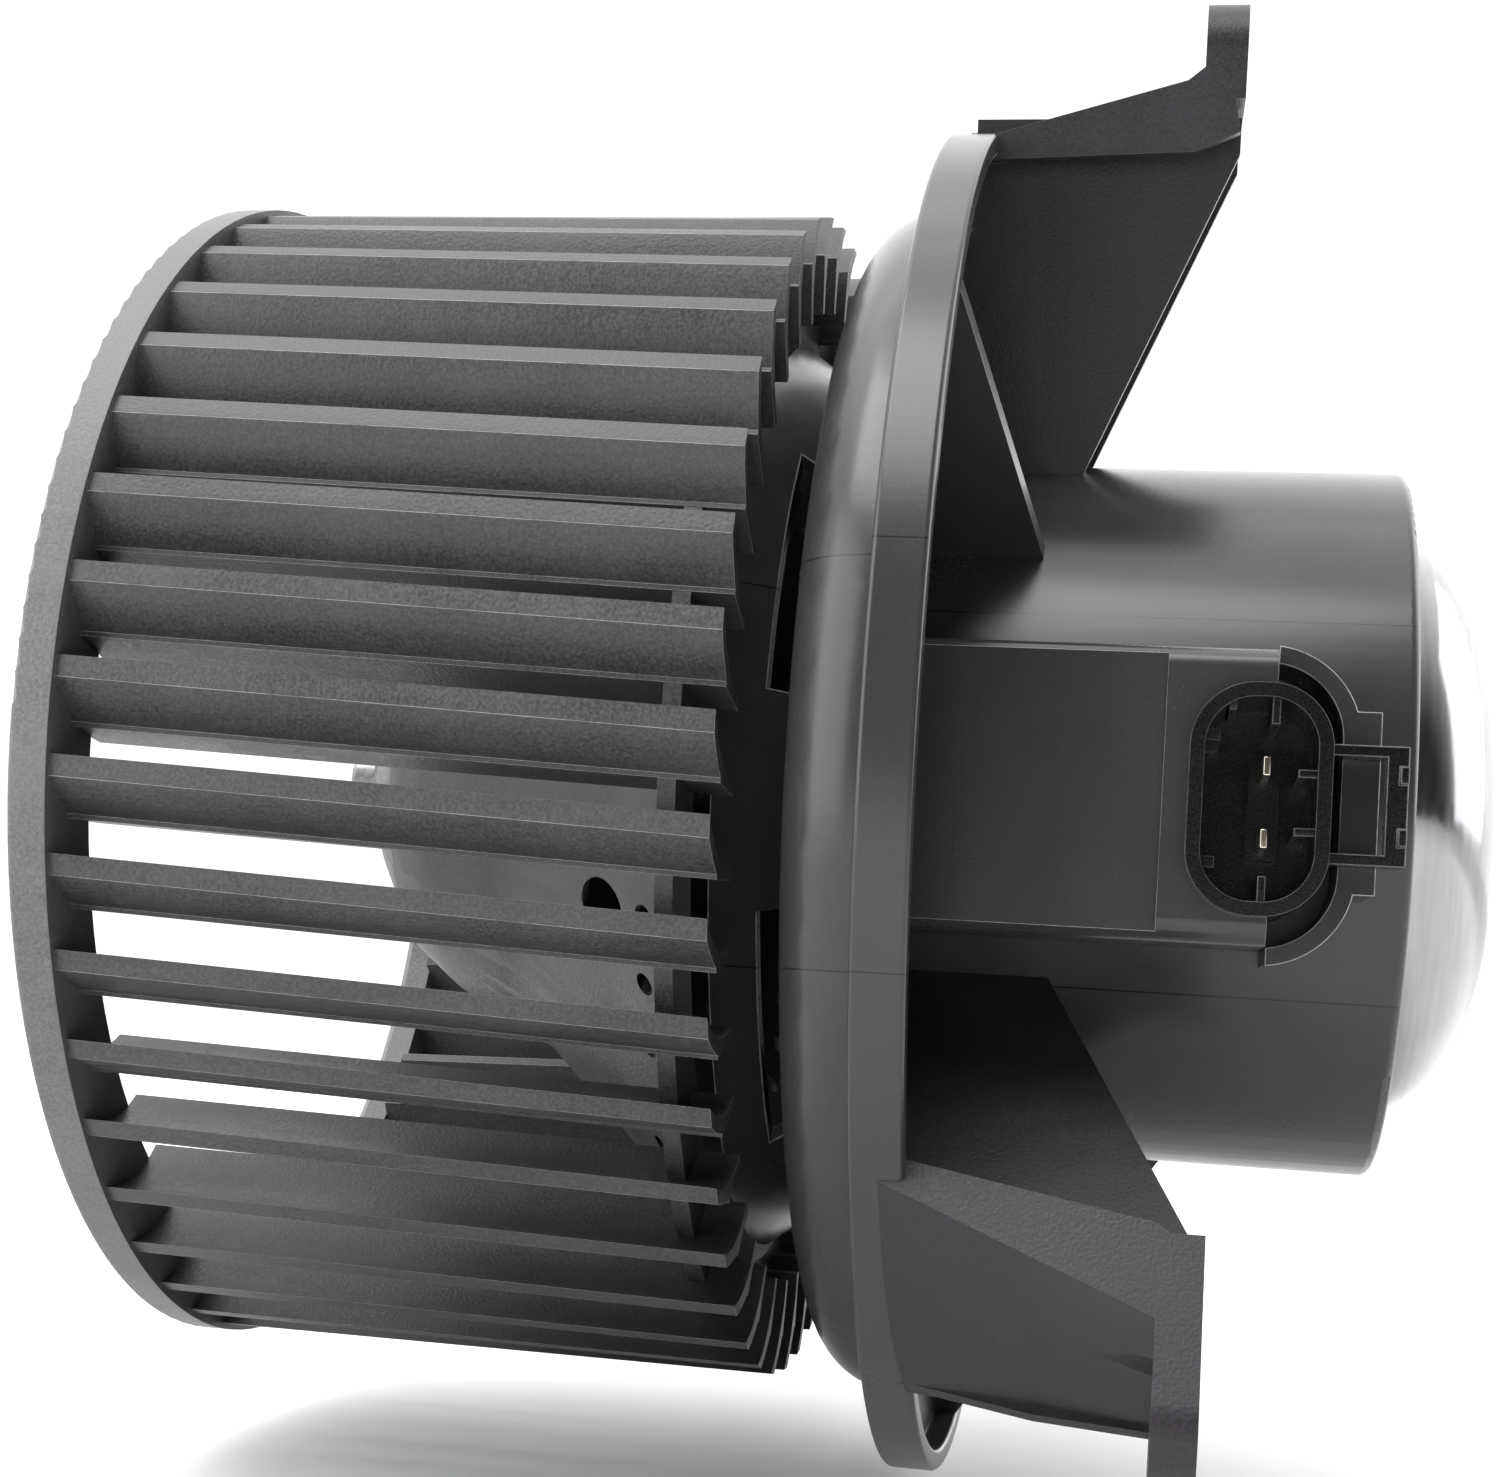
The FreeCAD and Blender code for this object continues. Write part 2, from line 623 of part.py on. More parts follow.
def coolingDuct():
    """The flat-topped air duct beside the connector, hollow up to its raised end."""
    face = term("duct_face")
    low = term("duct_low")
    high = term("duct_high")
    wall = term("duct_wall")
    left = term("floor_left") + term("floor_wall")
    outside = brick((left, term("duct_right")), (face, -30.0), (low, high))
    edges = [e for e in outside.Edges if abs(e.tangentAt(e.FirstParameter).x) > 0.9
             and e.CenterOfMass.y < face + 0.1]
    outside = outside.makeFillet(2.5, edges)
    inside = brick((left - 1, term("duct_inside") - wall), (face + wall, -20.0), (low + wall, high - wall))
    recess = brick((left, term("duct_inside")), (face - 1, face + 0.5), (low + 1.0, high - 1.0))
    return outside.cut(inside).cut(recess).cut(plug).cut(shell.fuse(solidCup))


def connectorSkirt():
    """The drip skirt round the connector's latch side, with its flat tab."""
    gap = term("skirt_gap")
    wall = term("skirt_wall")
    face = term("skirt_face")
    grown = 2 * (gap + wall)
    outer = pill(term("plug_wide") + grown, term("plug_tall") + grown + 3.4,
                 term("plug_round") + gap + wall, face, -30.0)
    inner = pill(term("plug_wide") + 2 * gap, term("plug_tall") + 2 * gap + 3.4,
                 term("plug_round") + gap, face - 1, -46.5)
    half = brick((term("duct_right") + 0.2, 60.0), (face, -30.0), (-40.0, 40.0))
    tab = brick((term("plug_x") + term("plug_wide") / 2 + gap, term("skirt_right")), (face, -30.0),
                (term("skirt_low"), term("skirt_high")))
    return outer.cut(inner).common(half).fuse(tab).cut(plug).cut(solidCup)


def latchFrame():
    """The catch frame on the connector's side: two bars and a post that stands on the skirt."""
    face = term("latch_face")
    back = term("latch_back")
    left = term("latch_left")
    right = term("latch_right")
    low = term("latch_low")
    high = term("latch_high")
    bar_tall = term("latch_bar")
    post = term("latch_post")
    whole = brick((left, right), (face, back), (low, high))
    window = brick((left - 1, right - post), (face - 1, back + 1), (low + bar_tall, high - bar_tall))
    legs = [brick((left, term("skirt_right")), (back - 0.5, term("skirt_face")), (z, z + bar_tall))
            for z in (low, high - bar_tall)]
    nubs = [brick((right - 0.9, right), (face - 0.5, face + 0.5), (z - 0.9, z + 0.9))
            for z in (low + 3.0, high - 3.0)]
    return whole.cut(window).fuse(legs + nubs)


finish(shaped("cooling_duct", coolingDuct()), "cooling_duct")
finish(shaped("connector_shell", connectorShell()), "connector_shell")
finish(shaped("connector_skirt", connectorSkirt()), "connector_skirt")
finish(shaped("latch_frame", latchFrame()), "latch_frame")
finish(shaped("terminal_pins", pinBlades(0.0)), "terminal_pins")


# ---------------------------------------------------------------- motor inside the cup

def domed(name, radius, wall, front):
    """A bar with an elliptical end, as primitives bound to the sheet."""
    body = doc.addObject("Part::Cylinder", name + "_bar")
    bind(body, "Radius", radius + wall)
    bind(body, "Height", "cup_end - " + front)
    body.Placement = FreeCAD.Placement(FreeCAD.Vector(), FreeCAD.Rotation(FreeCAD.Vector(0, 1, 0), 90))
    bindPlace(body, front)
    dome = doc.addObject("Part::Ellipsoid", name + "_dome")
    bind(dome, "Radius1", "dome_height" + wall)
    bind(dome, "Radius2", radius + wall)
    bind(dome, "Radius3", radius + wall)
    dome.Placement = FreeCAD.Placement(FreeCAD.Vector(), FreeCAD.Rotation(FreeCAD.Vector(0, 1, 0), 90))
    bindPlace(dome, "cup_end")
    return joined(name, [body, dome])


finish(cutBy("Can", domed("Can_outside", "can_radius", "", "can_front"),
             domed("Can_inside", "can_radius", " - can_wall", "can_front")), "motor_can")


def magnets():
    span = 2 * term("magnet_half")
    arcs = []
    for centre in (0.0, 180.0):
        left = FreeCAD.Vector(term("magnet_left"), 0, 0)
        along = FreeCAD.Vector(1, 0, 0)
        length = term("magnet_right") - term("magnet_left")
        arc = Part.makeCylinder(term("magnet_outer"), length, left, along, span)
        arc = arc.cut(Part.makeCylinder(term("magnet_inner"), length, left, along))
        arcs.append(arc.rotated(FreeCAD.Vector(), along, 90.0 - span / 2 - centre))
    return Part.makeCompound(arcs)


def magnetClips():
    """Two spring clips in the gaps between the magnets."""
    clip = slab([(-17.0, 30.4), (-17.0, 33.1), (13.0, 33.1), (13.0, 30.4)], -9.0, 9.0)
    return Part.makeCompound([swung(clip, 90.0), swung(clip, 270.0)])


def isolatorRings():
    """The two rubber rings that hold the can inside the cup."""
    inner = term("can_radius")
    outer = term("cup_radius") - term("cup_wall")
    return Part.makeCompound([tube(inner, outer, -33.0, -26.0), tube(inner, outer, 14.0, 21.0)])


finish(shaped("magnets", magnets()), "magnets")
finish(shaped("magnet_clips", magnetClips()), "magnet_clips")
finish(shaped("isolator_rings", isolatorRings()), "isolator_rings")

plateBody = turned("end_plate", [
    ("can_front", "bearing_radius"), ("boss_left", "bearing_radius"), ("boss_left", "plate_boss"),
    ("can_front", "plate_boss"), ("can_front", "plate_radius"),
    ("can_front + plate_thick", "plate_radius"), ("can_front + plate_thick", "bearing_radius"),
])
screwSpots = circles(plateBody, "Plate_screws", "YZ_Plane", [
    ("0", "screw_circle", "1.6"), ("0", "0 - screw_circle", "1.6"),
])
pocketed(plateBody, screwSpots, "Plate_screws", "100")
finish(plateBody, "end_plate")


def bearing(node, left):
    return finish(turned(node, [
        (left, "shaft_radius + running_gap"), (left, "bearing_radius"),
        (left + " + bearing_length", "bearing_radius"),
        (left + " + bearing_length", "shaft_radius + running_gap"),
    ]), node)


bearing("front_bearing", "front_bearing")
bearing("rear_bearing", "rear_bearing")
finish(turned("bearing_seat", [
    ("rear_bearing", "bearing_radius"), ("rear_bearing", "seat_radius"), ("rear_bearing + 6", "seat_radius"),
    ("rear_bearing + 8", "30.3"), ("rear_bearing + 9.2", "28.3"), ("rear_bearing + 7.6", "bearing_radius"),
]), "bearing_seat")

cardBody = turned("brush_card", [
    ("card_left", "card_bore"), ("card_left", "card_radius"), ("card_right", "card_radius"),
    ("card_right", "card_bore"),
])
finish(cardBody, "brush_card")


def upAndDown(shape):
    """The same piece above and below the commutator."""
    return Part.makeCompound([shape, swung(shape, 270.0)])


def holder():
    """A square tube along +Z with a closed end, standing on the brush card."""
    gap = term("slide_gap")
    wall = term("holder_wall")
    half = term("brush_half") + gap
    left = term("brush_left") - gap
    right = term("brush_right") + gap
    inner = term("holder_inner")
    outer = term("holder_outer")
    outside = brick((term("card_right"), right + wall), (-half - wall, half + wall), (inner, outer))
    bore = brick((left, right), (-half, half), (inner - 1, term("spring_end")))
    return outside.cut(bore)


def brush():
    half = term("brush_half")
    block = brick((term("brush_left"), term("brush_right")), (-half, half),
                  (term("brush_inner") - 1.0, term("brush_outer")))
    return block.cut(bar(term("brush_inner"), -40.0, -20.0))


def spring():
    """The brush spring as the sleeve that its turns fill."""
    centre = (term("brush_left") + term("brush_right")) / 2
    low = term("brush_outer")
    length = term("spring_end") - low
    outer = Part.makeCylinder(term("spring_radius"), length, FreeCAD.Vector(centre, 0, low))
    inner = Part.makeCylinder(term("spring_bore"), length, FreeCAD.Vector(centre, 0, low))
    return outer.cut(inner)


def chokes():
    """Two suppression chokes standing on the brush card beside the brushes."""
    coils = []
    for side in (1.0, -1.0):
        coil = Part.makeCylinder(3.4, 12.0, FreeCAD.Vector(-28.4, 20.0 * side, -6.0))
        core = Part.makeCylinder(1.5, 16.0, FreeCAD.Vector(-28.4, 20.0 * side, -8.0))
        foot = brick((term("card_right"), -28.4), (20.0 * side - 1.0, 20.0 * side + 1.0), (-8.0, -6.0))
        coils.append(coil.fuse([core, foot]))
    return Part.makeCompound(coils)


def motorScrews():
    """Two screws that hold the brush card to the end plate."""
    screws = []
    front = term("can_front")
    for height in (term("screw_circle"), -term("screw_circle")):
        shank = Part.makeCylinder(1.6, term("card_left") - front, FreeCAD.Vector(front, 0, height),
                                  FreeCAD.Vector(1, 0, 0))
        screws.append(shank)
    return Part.makeCompound(screws)


finish(shaped("brush_holders", upAndDown(holder())), "brush_holders")
finish(shaped("brush_upper", brush()), "brush_upper")
finish(shaped("brush_lower", swung(brush(), 270.0)), "brush_lower")
finish(shaped("brush_spring_upper", spring()), "brush_spring_upper")
finish(shaped("brush_spring_lower", swung(spring(), 270.0)), "brush_spring_lower")
finish(shaped("choke_coils", chokes()), "choke_coils")
finish(shaped("card_screws", motorScrews()), "card_screws")


# ---------------------------------------------------------------- checks and files

doc.recompute()
for thing in doc.Objects:
    if "Invalid" in thing.State or "Error" in thing.State:
        raise ValueError("%s did not build: %s" % (thing.Label, thing.State))
for thing in finished:
    shape = thing.Shape
    if shape.isNull() or not shape.isValid() or not shape.Solids:
        raise ValueError("%s has no valid solid" % thing.Label)

os.makedirs("parts", exist_ok=True)
for thing in finished:
    thing.Shape.exportStep("parts/%s.step" % thing.Label)
    print(thing.Label, len(thing.Shape.Solids), round(thing.Shape.Volume))
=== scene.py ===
import json
import math

import bpy
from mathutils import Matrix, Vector


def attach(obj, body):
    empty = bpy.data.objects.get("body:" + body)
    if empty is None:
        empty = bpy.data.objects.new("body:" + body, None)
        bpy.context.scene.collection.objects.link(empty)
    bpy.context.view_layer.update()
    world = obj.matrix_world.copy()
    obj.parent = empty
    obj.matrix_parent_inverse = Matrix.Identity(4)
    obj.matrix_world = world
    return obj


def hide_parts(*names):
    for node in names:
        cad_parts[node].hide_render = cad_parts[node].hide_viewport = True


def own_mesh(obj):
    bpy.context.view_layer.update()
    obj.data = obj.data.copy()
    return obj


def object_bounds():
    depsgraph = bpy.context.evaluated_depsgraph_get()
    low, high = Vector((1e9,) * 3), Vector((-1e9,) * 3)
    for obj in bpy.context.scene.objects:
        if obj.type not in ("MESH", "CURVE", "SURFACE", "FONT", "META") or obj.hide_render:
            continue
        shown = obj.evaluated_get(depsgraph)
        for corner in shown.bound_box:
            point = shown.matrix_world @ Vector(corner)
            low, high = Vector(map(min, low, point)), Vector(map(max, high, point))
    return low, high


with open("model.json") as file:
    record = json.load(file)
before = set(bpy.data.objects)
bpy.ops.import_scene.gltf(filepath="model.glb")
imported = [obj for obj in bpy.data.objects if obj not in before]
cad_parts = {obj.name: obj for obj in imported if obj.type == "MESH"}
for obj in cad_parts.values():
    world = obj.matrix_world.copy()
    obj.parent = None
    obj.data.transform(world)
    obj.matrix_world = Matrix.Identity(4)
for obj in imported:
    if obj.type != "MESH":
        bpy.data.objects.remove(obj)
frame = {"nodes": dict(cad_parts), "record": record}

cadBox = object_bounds()
nodes = frame["nodes"]
record = frame["record"]
slotOf = {part["node"]: part["material_slot"] for part in record["subparts"]}
bodyOf = {node: body for body, names in record["behaviour"]["bodies"].items() for node in names}


def deselectAll():
    for thing in bpy.context.selected_objects:
        thing.select_set(False)
    bpy.context.view_layer.objects.active = None


def pick(thing):
    deselectAll()
    thing.select_set(True)
    bpy.context.view_layer.objects.active = thing


cameraPlace = {
    "location": (-0.000146, -0.303007, -0.024880),
    "tilt": (93.214, -3.522, 10.054),    # degrees
    "lens": 55.286, "sensor": 36.0,      # millimetres
    "shift": (-0.0018, 0.0767),
    "clip": (0.01, 50.0),
}


def addCamera():
    data = bpy.data.cameras.new("studioCamera")
    data.lens = cameraPlace["lens"]
    data.sensor_width = cameraPlace["sensor"]
    data.shift_x, data.shift_y = cameraPlace["shift"]
    data.clip_start, data.clip_end = cameraPlace["clip"]
    camera = bpy.data.objects.new("studioCamera", data)
    camera.location = cameraPlace["location"]
    camera.rotation_euler = [math.radians(angle) for angle in cameraPlace["tilt"]]
    bpy.context.collection.objects.link(camera)
    bpy.context.scene.camera = camera


addCamera()
print("camera placed")


# short ways to add one shader node and get its output

def mathNode(tree, operation, first, second=None):
    node = tree.nodes.new("ShaderNodeMath")
    node.operation = operation
    for place, value in enumerate((first, second)):
        if value is None:
            continue
        if isinstance(value, (int, float)):
            node.inputs[place].default_value = value
        else:
            tree.links.new(value, node.inputs[place])
    return node.outputs[0]


def plus(tree, first, second):
    return mathNode(tree, "ADD", first, second)


def times(tree, first, second):
    return mathNode(tree, "MULTIPLY", first, second)


def rampNode(tree, source, low, high, start=0.0, end=1.0):
    node = tree.nodes.new("ShaderNodeMapRange")
    node.interpolation_type = "SMOOTHSTEP"
    node.inputs["From Min"].default_value = low
    node.inputs["From Max"].default_value = high
    node.inputs["To Min"].default_value = start
    node.inputs["To Max"].default_value = end
    tree.links.new(source, node.inputs["Value"])
    return node.outputs["Result"]


def noiseNode(tree, vector, scale, detail, roughness):
    node = tree.nodes.new("ShaderNodeTexNoise")
    if isinstance(scale, (int, float)):
        node.inputs["Scale"].default_value = scale
    else:
        tree.links.new(scale, node.inputs["Scale"])
    node.inputs["Detail"].default_value = detail
    node.inputs["Roughness"].default_value = roughness
    tree.links.new(vector, node.inputs["Vector"])
    return node.outputs["Fac"]


def objectPlace(tree):
    return tree.nodes.new("ShaderNodeTexCoord").outputs["Object"]


def splitPlace(tree, vector):
    node = tree.nodes.new("ShaderNodeSeparateXYZ")
    tree.links.new(vector, node.inputs[0])
    return [node.outputs[axis] for axis in "XYZ"]


def joinPlace(tree, parts):
    node = tree.nodes.new("ShaderNodeCombineXYZ")
    for axis, value in zip("XYZ", parts):
        tree.links.new(value, node.inputs[axis])
    return node.outputs[0]


def newGroup(name, inputs, outputs):
    group = bpy.data.node_groups.new(name, "ShaderNodeTree")
    for socketName, value in inputs:
        socket = group.interface.new_socket(socketName, in_out="INPUT", socket_type="NodeSocketFloat")
        socket.default_value = value
    for socketName in outputs:
        group.interface.new_socket(socketName, in_out="OUTPUT", socket_type="NodeSocketFloat")
    enter = group.nodes.new("NodeGroupInput")
    leave = group.nodes.new("NodeGroupOutput")
    return group, enter, leave


# shader groups for what several materials share
# a noise is given as detail and roughness, and a ramp as where it starts and ends

grainLook = {
    "fineNoise": (2.0, 0.7), "cloudNoise": (4.0, 0.6),
    "speckleRamp": (0.36, 0.66), "dimpleRamp": (0.1, 0.7), "cloudRamp": (0.3, 0.7),
    "dimpleShare": 0.6, "fineShare": 0.4,      # of the height
}


def mouldedGrain():
    # fine speckle of a moulded surface, with slow cloudy tone under it
    group, enter, leave = newGroup("mouldedGrain", [("Grain Scale", 1500.0), ("Cloud Scale", 60.0)],
                                   ["Speckle", "Cloud", "Height"])
    place = objectPlace(group)
    grainScale = enter.outputs["Grain Scale"]
    fine = noiseNode(group, place, grainScale, *grainLook["fineNoise"])
    cloud = noiseNode(group, place, enter.outputs["Cloud Scale"], *grainLook["cloudNoise"])
    pits = group.nodes.new("ShaderNodeTexVoronoi")
    pits.feature = "SMOOTH_F1"
    group.links.new(place, pits.inputs["Vector"])
    group.links.new(grainScale, pits.inputs["Scale"])
    dimple = rampNode(group, pits.outputs["Distance"], *grainLook["dimpleRamp"])
    height = plus(group, times(group, dimple, grainLook["dimpleShare"]),
                  times(group, fine, grainLook["fineShare"]))
    group.links.new(rampNode(group, fine, *grainLook["speckleRamp"]), leave.inputs["Speckle"])
    group.links.new(rampNode(group, cloud, *grainLook["cloudRamp"]), leave.inputs["Cloud"])
    group.links.new(height, leave.inputs["Height"])
    return group


streakLook = {"noise": (4.0, 0.6), "ramp": (0.32, 0.68)}


def flowStreaks():
    # faint streaks that run along the spin axis, as plastic flows in a long mould
    group, enter, leave = newGroup("flowStreaks", [("Across", 500.0), ("Along", 25.0)], ["Streak"])
    x, y, z = splitPlace(group, objectPlace(group))
    across = enter.outputs["Across"]
    stretched = joinPlace(group, [times(group, x, enter.outputs["Along"]),
                                  times(group, y, across), times(group, z, across)])
    streak = noiseNode(group, stretched, 1.0, *streakLook["noise"])      # already to scale
    group.links.new(rampNode(group, streak, *streakLook["ramp"]), leave.inputs["Streak"])
    return group


ringLook = {"noise": (3.0, 0.6), "ramp": (0.3, 0.7)}


def turnedLines():
    # fine rings round the spin axis, as on turned or drawn metal
    group, enter, leave = newGroup("turnedLines", [("Ring Scale", 900.0), ("Round Scale", 2.0)],
                                   ["Line"])
    x, y, z = splitPlace(group, objectPlace(group))
    ringScale = enter.outputs["Ring Scale"]
    radius = mathNode(group, "SQRT", plus(group, times(group, y, y), times(group, z, z)))
    turn = mathNode(group, "ARCTAN2", z, y)
    wound = joinPlace(group, [times(group, x, ringScale), times(group, radius, ringScale),
                              times(group, turn, enter.outputs["Round Scale"])])
    line = noiseNode(group, wound, 1.0, *ringLook["noise"])              # already to scale
    group.links.new(rampNode(group, line, *ringLook["ramp"]), leave.inputs["Line"])
    return group


wearAndHighlightLook = {
    "noise": (4.0, 0.65), "breakRamp": (0.30, 0.60),
    "leastRub": 0.4,                    # what is left of the rub and painted edge highlight between its patches
    "outsideRamp": (0.500, 0.525),      # Pointiness, which is 0.5 on flat ground
}


def edgeWearAndHighlight():
    # rubbed edges and painted edge highlights: the narrow rounded faces at outside corners are
    # lightened, partly as real wear and partly standing in for the light the edges catch, broken up
    # by a coarse noise
    group, enter, leave = newGroup("edgeWearAndHighlight", [("Break Scale", 260.0)], ["Rub"])
    rim = group.nodes.new("ShaderNodeAttribute")
    rim.attribute_name = "rimFace"
    patches = noiseNode(group, objectPlace(group), enter.outputs["Break Scale"], *wearAndHighlightLook["noise"])
    broken = rampNode(group, patches, *wearAndHighlightLook["breakRamp"], wearAndHighlightLook["leastRub"])
    corner = group.nodes.new("ShaderNodeNewGeometry").outputs["Pointiness"]
    outside = rampNode(group, corner, *wearAndHighlightLook["outsideRamp"])
    rubbedAndHighlit = times(group, times(group, rim.outputs["Fac"], outside), broken)
    group.links.new(rubbedAndHighlit, leave.inputs["Rub"])
    return group


dustLook = {"noise": (5.0, 0.65), "patchRamp": (0.4, 0.75), "upRamp": (0.2, 1.0)}


def settledDust():
    # a little dust on what faces up
    group, enter, leave = newGroup("settledDust", [("Patch Scale", 90.0)], ["Dust"])
    facing = group.nodes.new("ShaderNodeNewGeometry").outputs["Normal"]
    up = rampNode(group, splitPlace(group, facing)[2], *dustLook["upRamp"])
    patches = noiseNode(group, objectPlace(group), enter.outputs["Patch Scale"], *dustLook["noise"])
    patch = rampNode(group, patches, *dustLook["patchRamp"])
    group.links.new(times(group, up, patch), leave.inputs["Dust"])
    return group


def partingLines():
    # where the two halves of the mould met: two thin lines at set heights, in metres
    group, enter, leave = newGroup(
        "partingLines", [("Upper", 0.0192), ("Lower", -0.0232), ("Half Width", 0.00009)], ["Line"])
    height = splitPlace(group, objectPlace(group))[2]
    lines = []
    for level in ("Upper", "Lower"):
        above = mathNode(group, "SUBTRACT", height, enter.outputs[level])
        away = mathNode(group, "ABSOLUTE", above)
        lines.append(mathNode(group, "LESS_THAN", away, enter.outputs["Half Width"]))
    group.links.new(mathNode(group, "MAXIMUM", *lines), leave.inputs["Line"])
    return group


groups = {
    "grain": mouldedGrain(), "streaks": flowStreaks(), "rings": turnedLines(),
    "wearAndHighlight": edgeWearAndHighlight(), "dust": settledDust(), "parting": partingLines(),
}
print("shader groups built")


# materials

def startMaterial(name):
    material = bpy.data.materials.new(name)
    material.use_nodes = True
    tree = material.node_tree
    shader = [node for node in tree.nodes if node.type == "BSDF_PRINCIPLED"][0]
    return material, tree, shader


def useGroup(tree, key):
    node = tree.nodes.new("ShaderNodeGroup")
    node.node_tree = groups[key]
    return node


def useGrain(tree, grainScale, cloudScale):
    node = useGroup(tree, "grain")
    node.inputs["Grain Scale"].default_value = grainScale
    node.inputs["Cloud Scale"].default_value = cloudScale
    return node


def blendColour(tree, amount, first, second):
    node = tree.nodes.new("ShaderNodeMix")
    node.data_type = "RGBA"
    tree.links.new(amount, node.inputs[0])
    for place, value in ((6, first), (7, second)):      # a Mix node's two colour sockets
        if isinstance(value, tuple):
            node.inputs[place].default_value = (*value, 1.0)
        else:
            tree.links.new(value, node.inputs[place])
    return node.outputs[2]                              # and its colour output


def wornAndHighlitColour(tree, colour, wornAndHighlit, share):
    # lightens the rounded edges: rubbed wear, and a painted highlight along the edges
    rubbedAndHighlit = times(tree, useGroup(tree, "wearAndHighlight").outputs["Rub"], share)
    return blendColour(tree, rubbedAndHighlit, colour, wornAndHighlit)


def roughByTone(tree, tone, limits):
    return rampNode(tree, tone, 0.0, 1.0, *limits)


def bump(tree, shader, height, strength, distance):
    node = tree.nodes.new("ShaderNodeBump")
    node.inputs["Strength"].default_value = strength
    node.inputs["Distance"].default_value = distance
    tree.links.new(height, node.inputs["Height"])
    tree.links.new(node.outputs["Normal"], shader.inputs["Normal"])


plastics = {
    # the worn colours lighten the rounded edges: partly rubbed wear, partly painted highlight
    "wheelPlastic": {
        "dark": (0.030, 0.029, 0.0305), "light": (0.078, 0.076, 0.0795),
        "wornAndHighlit": (0.40, 0.38, 0.37), "roughness": (0.36, 0.54), "specular": 0.38,
        "grain": 2600.0, "speckle": 0.6, "streak": 0.3, "bump": 0.5,
        "ring": (0.165, 0.163, 0.17),      # painted light: the inlet ring's left end is painted lighter than the blades, where the light from the left falls
    },
    "housingPlastic": {
        "dark": (0.030, 0.0292, 0.0312), "light": (0.044, 0.0428, 0.0458),
        "wornAndHighlit": (0.42, 0.43, 0.45), "roughness": (0.23, 0.29), "specular": 0.48,
        "grain": 3400.0, "speckle": 0.3, "streak": 0.05, "bump": 0.045,
        "parting": 0.8,                    # how dark the parting lines are
    },
    "armPlastic": {
        "dark": (0.0145, 0.0126, 0.0152), "light": (0.033, 0.0288, 0.0346),
        "wornAndHighlit": (0.55, 0.54, 0.56), "roughness": (0.34, 0.50), "specular": 0.36,
        "grain": 2800.0, "speckle": 0.55, "streak": 0.12, "bump": 0.3,
    },
    "connectorPlastic": {
        "dark": (0.003, 0.003, 0.0032), "light": (0.007, 0.0068, 0.0074),
        "wornAndHighlit": (0.10, 0.10, 0.104), "roughness": (0.20, 0.34), "specular": 0.36,
        "grain": 4200.0, "speckle": 0.5, "streak": 0.1, "bump": 0.12,
    },
}

allPlastics = {        # what the four plastics share
    "cloudScale": 55.0, "cloudShare": 0.35, "streakShare": 0.5, "wearAndHighlightShare": 0.85,
    "ringEdge": (-0.1186, -0.1182),      # where the inlet ring ends along X, in metres
    # how strongly the painted light on the inlet ring's left end shows
    "ringShare": 0.5, "ringLeast": 0.4,
    "dust": (0.42, 0.41, 0.39), "dustShare": 0.03, "dustRoughness": 0.5,
    "seam": (0.004, 0.004, 0.004), "seamDepth": 2.0,
    "bumpDepth": 0.00006,                # metres
}


def plasticTone(tree, recipe, grain, streak):
    speckle = times(tree, grain.outputs["Speckle"], recipe["speckle"])
    cloud = times(tree, grain.outputs["Cloud"], allPlastics["cloudShare"])
    flow = times(tree, streak, recipe["streak"] * allPlastics["streakShare"])
    return plus(tree, plus(tree, speckle, cloud), flow)


def ringColour(tree, recipe, tone, colour):
    # painted light: the inlet ring's left end, past ringEdge, is made lighter, standing in for the
    # light from the left
    x = splitPlace(tree, objectPlace(tree))[0]
    ring = rampNode(tree, x, *allPlastics["ringEdge"], 1.0, 0.0)
    ringLightAmount = plus(tree, times(tree, tone, allPlastics["ringShare"]), allPlastics["ringLeast"])
    return blendColour(tree, times(tree, ring, ringLightAmount), colour, recipe["ring"])


def plasticMaterial(name):
    recipe = plastics[name]
    material, tree, shader = startMaterial(name)
    grain = useGrain(tree, recipe["grain"], allPlastics["cloudScale"])
    streak = useGroup(tree, "streaks").outputs["Streak"]
    tone = plasticTone(tree, recipe, grain, streak)
    colour = blendColour(tree, tone, recipe["dark"], recipe["light"])
    # painted light on the inlet ring's left end
    if "ring" in recipe:
        colour = ringColour(tree, recipe, tone, colour)
    # painted highlight and rubbed wear on the rounded edges
    colour = wornAndHighlitColour(tree, colour, recipe["wornAndHighlit"], allPlastics["wearAndHighlightShare"])
    dusted = times(tree, useGroup(tree, "dust").outputs["Dust"], allPlastics["dustShare"])
    colour = blendColour(tree, dusted, colour, allPlastics["dust"])
    height = plus(tree, grain.outputs["Height"], times(tree, streak, recipe["streak"]))
    if "parting" in recipe:
        seam = times(tree, useGroup(tree, "parting").outputs["Line"], recipe["parting"])
        colour = blendColour(tree, seam, colour, allPlastics["seam"])
        height = mathNode(tree, "SUBTRACT", height, times(tree, seam, allPlastics["seamDepth"]))
    tree.links.new(colour, shader.inputs["Base Color"])
    rough = plus(tree, roughByTone(tree, tone, recipe["roughness"]),
                 times(tree, dusted, allPlastics["dustRoughness"]))
    tree.links.new(rough, shader.inputs["Roughness"])
    shader.inputs["Specular IOR Level"].default_value = recipe["specular"]
    bump(tree, shader, height, recipe["bump"], allPlastics["bumpDepth"])
    return material


